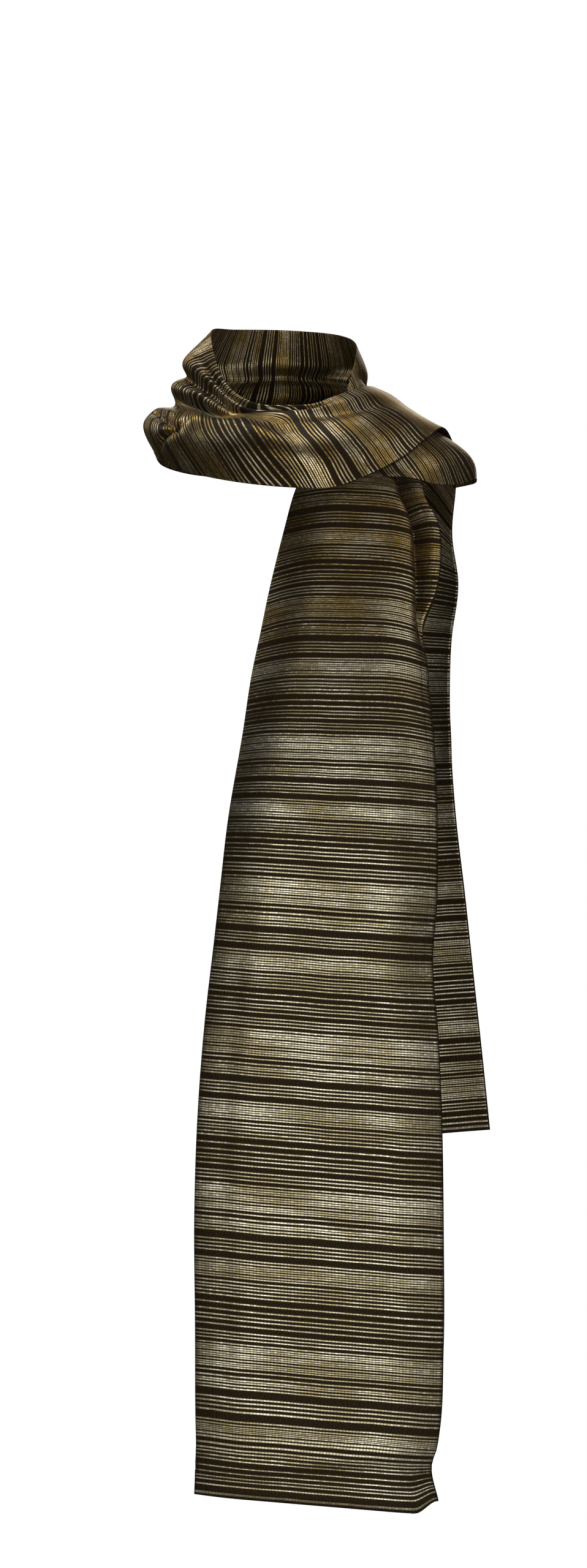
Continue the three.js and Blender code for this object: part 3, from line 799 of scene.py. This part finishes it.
class ShawlCloth(bpy.types.PropertyGroup):
    """Sizes of the cloth as it is worn, and of its mesh"""

    thickness: bpy.props.FloatProperty(
        name="Thickness", description="Thickness of one layer of silk", default=0.0003, min=0.0001,
        unit="LENGTH")
    wound_gap: bpy.props.FloatProperty(
        name="Wound Gap", description="Between the two layers' middles where the band is wound",
        default=0.0009, min=0.0004, unit="LENGTH")
    hanging_gap: bpy.props.FloatProperty(
        name="Hanging Gap", description="Between the two layers' middles in the hanging ends",
        default=0.002, min=0.0004, unit="LENGTH")
    hanging_step: bpy.props.FloatProperty(
        name="Hanging Step", description="Spacing of the mesh rows in the hanging ends", default=0.006,
        min=0.001, unit="LENGTH")
    wound_step: bpy.props.FloatProperty(
        name="Wound Step", description="Spacing of the mesh rows where the band is wound",
        default=0.0022, min=0.001, unit="LENGTH")
    columns: bpy.props.IntProperty(
        name="Columns", description="Mesh columns across one layer", default=70, min=8)


class ShawlWeave(bpy.types.PropertyGroup):
    """The striped cloth"""

    width: bpy.props.FloatProperty(
        name="Panel Width", description="Width of the panel, selvedge to selvedge", default=0.35,
        unit="LENGTH")
    length: bpy.props.FloatProperty(
        name="Panel Length", description="Length of the panel, hem to hem", default=2.0, unit="LENGTH")
    repeat: bpy.props.FloatProperty(
        name="Stripe Repeat", description="Length of one repeat of the gold lines", default=0.107,
        unit="LENGTH")
    line_width: bpy.props.FloatProperty(
        name="Line Width", description="Width of a gold line at half its strength", default=0.00052,
        unit="LENGTH")
    wander: bpy.props.FloatProperty(
        name="Wander", description="How far a gold line strays from straight", default=0.0005,
        unit="LENGTH")
    dash: bpy.props.FloatProperty(
        name="Dash", description="Length of one float of the gold thread", default=0.0024,
        unit="LENGTH")
    selvedge: bpy.props.FloatProperty(
        name="Selvedge", description="Width of the plain selvedge", default=0.0006, unit="LENGTH")
    ground: bpy.props.FloatVectorProperty(
        name="Ground", description="Colour of the silk between the lines", subtype="COLOR", size=4,
        default=(0.006, 0.004, 0.002, 1), min=0, max=1)
    ground_grain: bpy.props.FloatVectorProperty(
        name="Ground Grain", description="Colour of the threads that show in the ground",
        subtype="COLOR", size=4, default=(0.024, 0.016, 0.008, 1), min=0, max=1)
    # Painted shade and painted highlight: the gold is mixed between these two colours by noise patches
    # and each dash's glint
    painted_dim_gold: bpy.props.FloatVectorProperty(
        name="Dim Gold", description="Colour of a gold dash that turns away", subtype="COLOR", size=4,
        default=(0.25, 0.2, 0.09, 1), min=0, max=1)
    painted_bright_gold: bpy.props.FloatVectorProperty(
        name="Bright Gold", description="Colour of a gold dash that catches the light", subtype="COLOR",
        size=4, default=(0.98, 0.92, 0.72, 1), min=0, max=1)
    # Painted light and shade: a richer, more saturated copy of the dim and bright gold, used where the
    # band is wound
    painted_rich_dim: bpy.props.FloatVectorProperty(
        name="Rich Dim Gold", description="The dim gold where the shawl is wound", subtype="COLOR",
        size=4, default=(0.34, 0.2, 0.025, 1), min=0, max=1)
    painted_rich_bright: bpy.props.FloatVectorProperty(
        name="Rich Bright Gold", description="The bright gold where the shawl is wound",
        subtype="COLOR", size=4, default=(1, 0.9, 0.65, 1), min=0, max=1)


class ShawlStudio(bpy.types.PropertyGroup):
    """The plain studio round the shawl"""

    camera_place: bpy.props.FloatVectorProperty(
        name="Camera", description="Where the camera stands", default=(0.0027, -3.0, -0.265),
        subtype="TRANSLATION", unit="LENGTH")
    lens: bpy.props.FloatProperty(
        name="Lens", description="Focal length, in mm", default=92.2, min=1, unit="CAMERA")
    floor_height: bpy.props.FloatProperty(
        name="Floor Height", description="Height of the floor", default=-1.45, unit="LENGTH")
    floor_radius: bpy.props.FloatProperty(
        name="Floor Radius", description="Radius of the floor", default=1.5, unit="LENGTH")
    floor_colour: bpy.props.FloatVectorProperty(
        name="Floor Colour", description="Colour of the floor", subtype="COLOR", size=4,
        default=(0.82, 0.82, 0.81, 1), min=0, max=1)
    surroundings: bpy.props.FloatProperty(
        name="Surroundings", description="Light from the pale room", default=0.03, min=0, max=1)


class SHAWL_OT_band(bpy.types.Operator):
    """Builds the whole band: the front end, the turns round the neck and the back end"""

    bl_idname = "shawl.band"
    bl_label = "Doubled Band"

    def execute(self, context):
        weave = context.scene.shawl_weave
        piece = band_cloth(context.scene.shawl_cloth, weave)
        wear_silk(piece, weave)
        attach(piece, "root")
        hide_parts("front_tail", "shoulder_rise", "neck_wrap", "left_turn", "front_drape",
                    "shoulder_fall", "back_tail")
        return {"FINISHED"}


class SHAWL_OT_underlay(bpy.types.Operator):
    """Builds the part of the under layer that shows below the drape"""

    bl_idname = "shawl.underlay"
    bl_label = "Under Layer"

    def execute(self, context):
        weave = context.scene.shawl_weave
        piece = underlay_cloth(context.scene.shawl_cloth, weave)
        wear_silk(piece, weave)
        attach(piece, "root")
        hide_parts("drape_underlay")
        return {"FINISHED"}


def add_floor(studio):
    """The pale floor."""
    bpy.ops.mesh.primitive_circle_add(
        vertices=96, radius=studio.floor_radius, fill_type="NGON",
        location=(0, 0, studio.floor_height))
    floor = bpy.context.object
    floor.name = "studio_floor"
    floor.data.materials.append(plain_material("pale floor", studio.floor_colour, 0.7))


def add_softbox(name, place, size, power):
    """A soft lamp that faces the middle of the shawl."""
    light = bpy.data.lights.new(name, "AREA")
    light.size = size
    light.energy = power
    lamp = bpy.data.objects.new(name, light)
    lamp.location = place
    aim = Vector(LIT_POINT) - lamp.location
    lamp.rotation_euler = aim.to_track_quat("-Z", "Y").to_euler()
    bpy.context.collection.objects.link(lamp)


def pale_room(surroundings):
    """A world that looks white, and lights the shawl only faintly."""
    world = bpy.data.worlds.new("pale room")
    world.use_nodes = True
    tree = world.node_tree
    backdrop = tree.nodes["Background"]
    backdrop.inputs["Color"].default_value = (1, 1, 1, 1)
    seen = add_node(tree, "ShaderNodeLightPath").outputs["Is Camera Ray"]
    strength = math_node(tree, "MULTIPLY_ADD", seen, 1 - surroundings, surroundings)
    tree.links.new(strength, backdrop.inputs["Strength"])
    return world


def add_camera(place, focal_length):
    """A camera that looks level, towards the back."""
    lens = bpy.data.cameras.new("camera")
    lens.sensor_width = 36
    lens.lens = focal_length
    camera = bpy.data.objects.new("camera", lens)
    camera.location = place
    camera.rotation_euler = (math.pi / 2, 0, 0)
    bpy.context.collection.objects.link(camera)
    return camera


class SHAWL_OT_stage(bpy.types.Operator):
    """Builds the floor, the lights and the camera"""

    bl_idname = "shawl.stage"
    bl_label = "Studio"

    def execute(self, context):
        studio = context.scene.shawl_studio
        add_floor(studio)
        for softbox in SOFTBOXES:
            add_softbox(*softbox)
        context.scene.world = pale_room(studio.surroundings)
        context.scene.view_settings.view_transform = "Standard"
        context.scene.camera = add_camera(studio.camera_place, studio.lens)
        return {"FINISHED"}


class SHAWL_PT_panel(bpy.types.Panel):
    """The shawl's pieces and settings, in the sidebar"""

    bl_idname = "SHAWL_PT_panel"
    bl_label = "Silk Shawl"
    bl_space_type = "VIEW_3D"
    bl_region_type = "UI"
    bl_category = "Shawl"

    def draw(self, context):
        for group in GROUPS:
            settings = getattr(context.scene, group)
            box = self.layout.box()
            for name in settings.__annotations__:
                box.prop(settings, name)
        for operator in OPERATORS:
            self.layout.operator(operator.bl_idname)


OPERATORS = (SHAWL_OT_band, SHAWL_OT_underlay, SHAWL_OT_stage)
GROUPS = {"shawl_cloth": ShawlCloth, "shawl_weave": ShawlWeave, "shawl_studio": ShawlStudio}


def register():
    for kind in (*GROUPS.values(), *OPERATORS, SHAWL_PT_panel):
        bpy.utils.register_class(kind)
    for name, group in GROUPS.items():
        setattr(bpy.types.Scene, name, bpy.props.PointerProperty(type=group))


def unregister():
    for name in GROUPS:
        delattr(bpy.types.Scene, name)
    for kind in (SHAWL_PT_panel, *OPERATORS, *GROUPS.values()):
        bpy.utils.unregister_class(kind)


def main():
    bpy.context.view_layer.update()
    register()
    bpy.ops.shawl.band()
    bpy.ops.shawl.underlay()
    bpy.ops.shawl.stage()


if __name__ == "__main__":
    main()
